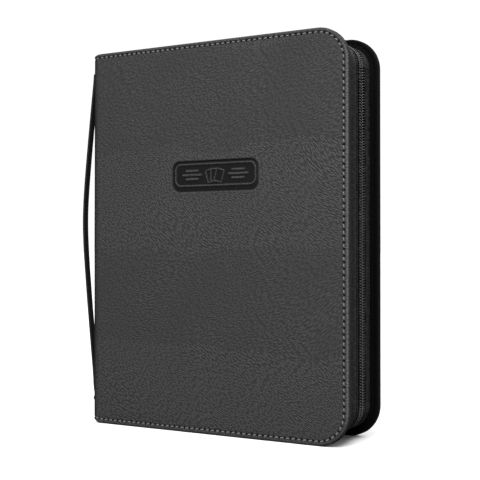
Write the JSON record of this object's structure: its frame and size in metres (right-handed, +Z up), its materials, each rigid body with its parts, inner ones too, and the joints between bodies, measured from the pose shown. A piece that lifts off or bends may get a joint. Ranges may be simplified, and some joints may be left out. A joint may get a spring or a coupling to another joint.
{
  "type": "trading card binder",
  "caption": "Zip-around padded leather-look binder with a carrying strap on the spine, stitched covers, a fabric gusset and fixed side-loading pocket leaves for trading cards.",
  "frame": {"origin": "on the floor under the middle of the whole object, the strap's bow included", "axes": "+Z up along the spine, +X from the spine to the fore-edge, -Y out of the front cover"},
  "size_m": [0.1942, 0.046, 0.24],
  "materials": {
    "cover_leather": "pebble-grained matt",
    "lining": "smooth matt",
    "foam": "soft foam",
    "board": "pressed greyboard",
    "seam_thread": "twisted thread",
    "gusset_fabric": "woven",
    "zipper_tape": "woven tape",
    "zipper_coil": "nylon coil",
    "strap": "smooth matt",
    "zipper_metal": "black satin",
    "pocket_film": "clear film welded over a black sheet"
  },
  "bodies": {
    "spine": {"spine_leather": "cover_leather", "spine_board": "board", "spine_lining": "lining", "binding_strip": "gusset_fabric", "handle_strap": "strap", "strap_anchor_top": "gusset_fabric", "strap_anchor_bottom": "gusset_fabric", "zipper_end_tab_top": "zipper_tape", "zipper_end_tab_bottom": "zipper_tape", "zipper_stop_top": "zipper_metal", "zipper_stop_bottom": "zipper_metal"},
    "front_cover": {"front_cover_leather": "cover_leather", "front_cover_foam": "foam", "front_cover_board": "board", "front_cover_lining": "lining", "front_seam_thread": "seam_thread", "front_gusset": "gusset_fabric", "front_zipper_tape": "zipper_tape", "front_zipper_coil": "zipper_coil"},
    "back_cover": {"back_cover_leather": "cover_leather", "back_cover_foam": "foam", "back_cover_board": "board", "back_cover_lining": "lining", "back_seam_thread": "seam_thread", "back_gusset": "gusset_fabric", "back_zipper_tape": "zipper_tape", "back_zipper_coil": "zipper_coil"},
    "slider": {"zipper_slider": "zipper_metal"},
    "pull": {"zipper_pull": "zipper_metal"},
    "page_01": {"page_01": "pocket_film"},
    "page_02": {"page_02": "pocket_film"},
    "page_03": {"page_03": "pocket_film"},
    "page_04": {"page_04": "pocket_film"},
    "page_05": {"page_05": "pocket_film"},
    "page_06": {"page_06": "pocket_film"},
    "page_07": {"page_07": "pocket_film"},
    "page_08": {"page_08": "pocket_film"},
    "page_09": {"page_09": "pocket_film"},
    "page_10": {"page_10": "pocket_film"},
    "page_11": {"page_11": "pocket_film"},
    "page_12": {"page_12": "pocket_film"},
    "page_13": {"page_13": "pocket_film"},
    "page_14": {"page_14": "pocket_film"},
    "page_15": {"page_15": "pocket_film"},
    "page_16": {"page_16": "pocket_film"},
    "page_17": {"page_17": "pocket_film"},
    "page_18": {"page_18": "pocket_film"},
    "page_19": {"page_19": "pocket_film"},
    "page_20": {"page_20": "pocket_film"}
  },
  "joints": [
    {"name": "front_cover_hinge", "type": "hinge", "parent": "spine", "child": "front_cover", "pos_m": [-0.08585, -0.023, 0.12], "axis": [0, 0, -1], "range_deg": [0, 90]},
    {"name": "back_cover_hinge", "type": "hinge", "parent": "spine", "child": "back_cover", "pos_m": [-0.08585, 0.023, 0.12], "axis": [0, 0, 1], "range_deg": [0, 90]},
    {"name": "zipper_slide", "type": "slide", "parent": "back_cover", "child": "slider", "axis": [1, 0, 0], "range_m": [0, 0.13]},
    {"name": "pull_tab_hinge", "type": "hinge", "parent": "slider", "child": "pull", "pos_m": [-0.06585, 0.0072, 0.2377], "axis": [0, -1, 0], "range_deg": [0, 160]},
    {"name": "page_01_turn", "type": "hinge", "parent": "spine", "child": "page_01", "pos_m": [-0.07965, -0.01615, 0.12], "axis": [0, 0, -1], "range_deg": [0, 86]},
    {"name": "page_02_turn", "type": "hinge", "parent": "spine", "child": "page_02", "pos_m": [-0.07927, -0.01445, 0.12], "axis": [0, 0, -1], "range_deg": [0, 77]},
    {"name": "page_03_turn", "type": "hinge", "parent": "spine", "child": "page_03", "pos_m": [-0.07893, -0.01275, 0.12], "axis": [0, 0, -1], "range_deg": [0, 68]},
    {"name": "page_04_turn", "type": "hinge", "parent": "spine", "child": "page_04", "pos_m": [-0.07864, -0.01105, 0.12], "axis": [0, 0, -1], "range_deg": [0, 59]},
    {"name": "page_05_turn", "type": "hinge", "parent": "spine", "child": "page_05", "pos_m": [-0.07839, -0.00935, 0.12], "axis": [0, 0, -1], "range_deg": [0, 50]},
    {"name": "page_06_turn", "type": "hinge", "parent": "spine", "child": "page_06", "pos_m": [-0.07818, -0.00765, 0.12], "axis": [0, 0, -1], "range_deg": [0, 41]},
    {"name": "page_07_turn", "type": "hinge", "parent": "spine", "child": "page_07", "pos_m": [-0.07801, -0.00595, 0.12], "axis": [0, 0, -1], "range_deg": [0, 32]},
    {"name": "page_08_turn", "type": "hinge", "parent": "spine", "child": "page_08", "pos_m": [-0.07788, -0.00425, 0.12], "axis": [0, 0, -1], "range_deg": [0, 23]},
    {"name": "page_09_turn", "type": "hinge", "parent": "spine", "child": "page_09", "pos_m": [-0.0778, -0.00255, 0.12], "axis": [0, 0, -1], "range_deg": [0, 14]},
    {"name": "page_10_turn", "type": "hinge", "parent": "spine", "child": "page_10", "pos_m": [-0.07776, -0.00085, 0.12], "axis": [0, 0, -1], "range_deg": [0, 5]},
    {"name": "page_11_turn", "type": "hinge", "parent": "spine", "child": "page_11", "pos_m": [-0.07776, 0.00085, 0.12], "axis": [0, 0, 1], "range_deg": [0, 5]},
    {"name": "page_12_turn", "type": "hinge", "parent": "spine", "child": "page_12", "pos_m": [-0.0778, 0.00255, 0.12], "axis": [0, 0, 1], "range_deg": [0, 14]},
    {"name": "page_13_turn", "type": "hinge", "parent": "spine", "child": "page_13", "pos_m": [-0.07788, 0.00425, 0.12], "axis": [0, 0, 1], "range_deg": [0, 23]},
    {"name": "page_14_turn", "type": "hinge", "parent": "spine", "child": "page_14", "pos_m": [-0.07801, 0.00595, 0.12], "axis": [0, 0, 1], "range_deg": [0, 32]},
    {"name": "page_15_turn", "type": "hinge", "parent": "spine", "child": "page_15", "pos_m": [-0.07818, 0.00765, 0.12], "axis": [0, 0, 1], "range_deg": [0, 41]},
    {"name": "page_16_turn", "type": "hinge", "parent": "spine", "child": "page_16", "pos_m": [-0.07839, 0.00935, 0.12], "axis": [0, 0, 1], "range_deg": [0, 50]},
    {"name": "page_17_turn", "type": "hinge", "parent": "spine", "child": "page_17", "pos_m": [-0.07864, 0.01105, 0.12], "axis": [0, 0, 1], "range_deg": [0, 59]},
    {"name": "page_18_turn", "type": "hinge", "parent": "spine", "child": "page_18", "pos_m": [-0.07893, 0.01275, 0.12], "axis": [0, 0, 1], "range_deg": [0, 68]},
    {"name": "page_19_turn", "type": "hinge", "parent": "spine", "child": "page_19", "pos_m": [-0.07927, 0.01445, 0.12], "axis": [0, 0, 1], "range_deg": [0, 77]},
    {"name": "page_20_turn", "type": "hinge", "parent": "spine", "child": "page_20", "pos_m": [-0.07965, 0.01615, 0.12], "axis": [0, 0, 1], "range_deg": [0, 86]}
  ],
  "couplings": [
    {"joint": "page_01_turn", "follows": "front_cover_hinge", "ratio": 0.95},
    {"joint": "page_02_turn", "follows": "front_cover_hinge", "ratio": 0.85},
    {"joint": "page_03_turn", "follows": "front_cover_hinge", "ratio": 0.75},
    {"joint": "page_04_turn", "follows": "front_cover_hinge", "ratio": 0.65},
    {"joint": "page_05_turn", "follows": "front_cover_hinge", "ratio": 0.55},
    {"joint": "page_06_turn", "follows": "front_cover_hinge", "ratio": 0.45},
    {"joint": "page_07_turn", "follows": "front_cover_hinge", "ratio": 0.35},
    {"joint": "page_08_turn", "follows": "front_cover_hinge", "ratio": 0.25},
    {"joint": "page_09_turn", "follows": "front_cover_hinge", "ratio": 0.15},
    {"joint": "page_10_turn", "follows": "front_cover_hinge", "ratio": 0.05},
    {"joint": "page_11_turn", "follows": "back_cover_hinge", "ratio": 0.05},
    {"joint": "page_12_turn", "follows": "back_cover_hinge", "ratio": 0.15},
    {"joint": "page_13_turn", "follows": "back_cover_hinge", "ratio": 0.25},
    {"joint": "page_14_turn", "follows": "back_cover_hinge", "ratio": 0.35},
    {"joint": "page_15_turn", "follows": "back_cover_hinge", "ratio": 0.45},
    {"joint": "page_16_turn", "follows": "back_cover_hinge", "ratio": 0.55},
    {"joint": "page_17_turn", "follows": "back_cover_hinge", "ratio": 0.65},
    {"joint": "page_18_turn", "follows": "back_cover_hinge", "ratio": 0.75},
    {"joint": "page_19_turn", "follows": "back_cover_hinge", "ratio": 0.85},
    {"joint": "page_20_turn", "follows": "back_cover_hinge", "ratio": 0.95}
  ]
}
